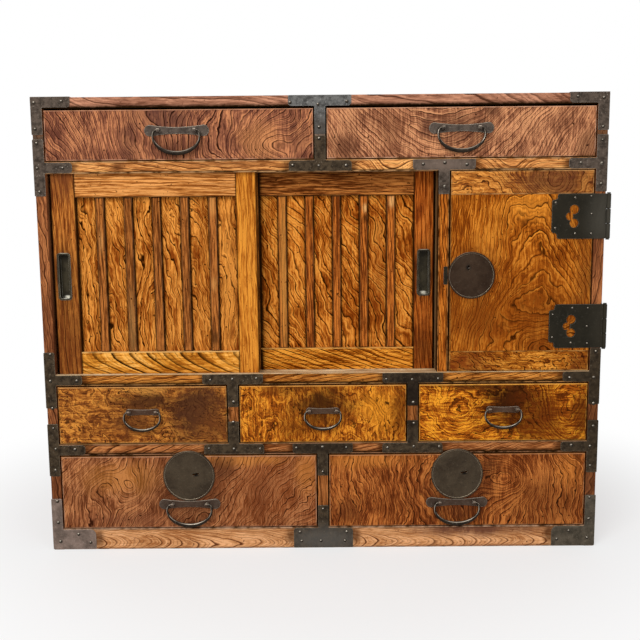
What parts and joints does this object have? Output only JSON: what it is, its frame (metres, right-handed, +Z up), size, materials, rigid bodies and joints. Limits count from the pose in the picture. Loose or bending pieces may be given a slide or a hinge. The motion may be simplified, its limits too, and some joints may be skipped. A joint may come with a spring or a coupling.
{
  "type": "tansu chest",
  "caption": "Low wooden merchant's chest with drawers, two sliding batten doors, a lockable hinged door, iron straps, round lock plates and drop bail handles.",
  "frame": {"origin": "on the floor under the middle of the carcass", "axes": "+X to the right across the front, +Y to the back, +Z up"},
  "size_m": [0.8866, 0.4077, 0.72],
  "materials": {
    "carcass_wood": "lacquered zelkova",
    "drawer_wood": "lacquered figured zelkova",
    "door_wood": "lacquered zelkova",
    "inner_wood": "plain planed softwood",
    "strap_iron": "forged, dark patina",
    "lock_iron": "smooth dark patina",
    "handle_iron": "worn dark iron"
  },
  "bodies": {
    "carcass": {"left_side_board": "carcass_wood", "right_side_board": "carcass_wood", "top_board": "carcass_wood", "back_panel": "inner_wood", "bottom_board": "inner_wood", "base_rail": "carcass_wood", "upper_shelf": "carcass_wood", "middle_shelf": "carcass_wood", "lower_shelf": "carcass_wood", "drawer_dividers": "carcass_wood", "door_divider": "carcass_wood", "corner_irons": "strap_iron", "strap_irons": "strap_iron", "hinge_side_leaves": "strap_iron", "hinge_pins": "strap_iron"},
    "top_left_drawer": {"top_left_drawer_front": "drawer_wood", "top_left_drawer_box": "inner_wood", "top_left_drawer_handle": "handle_iron"},
    "top_left_drawer_bail": {"top_left_drawer_bail": "handle_iron"},
    "top_right_drawer": {"top_right_drawer_front": "drawer_wood", "top_right_drawer_box": "inner_wood", "top_right_drawer_handle": "handle_iron"},
    "top_right_drawer_bail": {"top_right_drawer_bail": "handle_iron"},
    "small_left_drawer": {"small_left_drawer_front": "drawer_wood", "small_left_drawer_box": "inner_wood", "small_left_drawer_handle": "handle_iron"},
    "small_left_drawer_bail": {"small_left_drawer_bail": "handle_iron"},
    "small_middle_drawer": {"small_middle_drawer_front": "drawer_wood", "small_middle_drawer_box": "inner_wood", "small_middle_drawer_handle": "handle_iron"},
    "small_middle_drawer_bail": {"small_middle_drawer_bail": "handle_iron"},
    "small_right_drawer": {"small_right_drawer_front": "drawer_wood", "small_right_drawer_box": "inner_wood", "small_right_drawer_handle": "handle_iron"},
    "small_right_drawer_bail": {"small_right_drawer_bail": "handle_iron"},
    "bottom_left_drawer": {"bottom_left_drawer_front": "drawer_wood", "bottom_left_drawer_box": "inner_wood", "bottom_left_drawer_handle": "handle_iron", "bottom_left_drawer_lock": "lock_iron"},
    "bottom_left_drawer_bail": {"bottom_left_drawer_bail": "handle_iron"},
    "bottom_right_drawer": {"bottom_right_drawer_front": "drawer_wood", "bottom_right_drawer_box": "inner_wood", "bottom_right_drawer_handle": "handle_iron", "bottom_right_drawer_lock": "lock_iron"},
    "bottom_right_drawer_bail": {"bottom_right_drawer_bail": "handle_iron"},
    "bottom_left_drawer_lock_bolt": {"bottom_left_drawer_lock_bolt": "lock_iron"},
    "bottom_right_drawer_lock_bolt": {"bottom_right_drawer_lock_bolt": "lock_iron"},
    "left_sliding_door": {"left_sliding_door_frame": "door_wood", "left_sliding_door_panel": "door_wood", "left_sliding_door_battens": "door_wood", "left_sliding_door_pull": "handle_iron"},
    "right_sliding_door": {"right_sliding_door_frame": "door_wood", "right_sliding_door_panel": "door_wood", "right_sliding_door_battens": "door_wood", "right_sliding_door_pull": "handle_iron"},
    "swing_door": {"swing_door_panel": "door_wood", "swing_door_cleats": "door_wood", "swing_door_lock": "lock_iron", "hinge_door_leaves": "strap_iron"},
    "swing_door_lock_bolt": {"swing_door_lock_bolt": "lock_iron"}
  },
  "joints": [
    {"name": "top_left_drawer_slide", "type": "slide", "parent": "carcass", "child": "top_left_drawer", "axis": [0, -1, 0], "range_m": [0, 0.3]},
    {"name": "top_left_drawer_bail_swing", "type": "hinge", "parent": "top_left_drawer", "child": "top_left_drawer_bail", "pos_m": [-0.21843, -0.2053, 0.66795], "axis": [-1, 0, 0], "range_deg": [0, 165]},
    {"name": "top_right_drawer_slide", "type": "slide", "parent": "carcass", "child": "top_right_drawer", "axis": [0, -1, 0], "range_m": [0, 0.3]},
    {"name": "top_right_drawer_bail_swing", "type": "hinge", "parent": "top_right_drawer", "child": "top_right_drawer_bail", "pos_m": [0.21563, -0.2053, 0.66795], "axis": [-1, 0, 0], "range_deg": [0, 165]},
    {"name": "small_left_drawer_slide", "type": "slide", "parent": "carcass", "child": "small_left_drawer", "axis": [0, -1, 0], "range_m": [0, 0.3]},
    {"name": "small_left_drawer_bail_swing", "type": "hinge", "parent": "small_left_drawer", "child": "small_left_drawer_bail", "pos_m": [-0.28663, -0.2053, 0.2285], "axis": [-1, 0, 0], "range_deg": [0, 165]},
    {"name": "small_middle_drawer_slide", "type": "slide", "parent": "carcass", "child": "small_middle_drawer", "axis": [0, -1, 0], "range_m": [0, 0.3]},
    {"name": "small_middle_drawer_bail_swing", "type": "hinge", "parent": "small_middle_drawer", "child": "small_middle_drawer_bail", "pos_m": [0.0009, -0.2053, 0.2285], "axis": [-1, 0, 0], "range_deg": [0, 165]},
    {"name": "small_right_drawer_slide", "type": "slide", "parent": "carcass", "child": "small_right_drawer", "axis": [0, -1, 0], "range_m": [0, 0.3]},
    {"name": "small_right_drawer_bail_swing", "type": "hinge", "parent": "small_right_drawer", "child": "small_right_drawer_bail", "pos_m": [0.28752, -0.2053, 0.2285], "axis": [-1, 0, 0], "range_deg": [0, 165]},
    {"name": "bottom_left_drawer_slide", "type": "slide", "parent": "carcass", "child": "bottom_left_drawer", "axis": [0, -1, 0], "range_m": [0, 0.3]},
    {"name": "bottom_left_drawer_bail_swing", "type": "hinge", "parent": "bottom_left_drawer", "child": "bottom_left_drawer_bail", "pos_m": [-0.21563, -0.2053, 0.076], "axis": [-1, 0, 0], "range_deg": [0, 165]},
    {"name": "bottom_right_drawer_slide", "type": "slide", "parent": "carcass", "child": "bottom_right_drawer", "axis": [0, -1, 0], "range_m": [0, 0.3]},
    {"name": "bottom_right_drawer_bail_swing", "type": "hinge", "parent": "bottom_right_drawer", "child": "bottom_right_drawer_bail", "pos_m": [0.21563, -0.2053, 0.076], "axis": [-1, 0, 0], "range_deg": [0, 165]},
    {"name": "bottom_left_drawer_lock_bolt_throw", "type": "slide", "parent": "bottom_left_drawer", "child": "bottom_left_drawer_lock_bolt", "axis": [0, 0, 1], "range_m": [0, 0.008]},
    {"name": "bottom_right_drawer_lock_bolt_throw", "type": "slide", "parent": "bottom_right_drawer", "child": "bottom_right_drawer_lock_bolt", "axis": [0, 0, 1], "range_m": [0, 0.008]},
    {"name": "left_sliding_door_slide", "type": "slide", "parent": "carcass", "child": "left_sliding_door", "axis": [1, 0, 0], "range_m": [0, 0.28]},
    {"name": "right_sliding_door_slide", "type": "slide", "parent": "carcass", "child": "right_sliding_door", "axis": [-1, 0, 0], "range_m": [0, 0.282]},
    {"name": "swing_door_hinge", "type": "hinge", "parent": "carcass", "child": "swing_door", "pos_m": [0.443, -0.2013, 0.4428], "axis": [0, 0, 1], "range_deg": [0, 260]},
    {"name": "swing_door_lock_bolt_throw", "type": "slide", "parent": "swing_door", "child": "swing_door_lock_bolt", "axis": [-1, 0, 0], "range_m": [0, 0.008]}
  ]
}
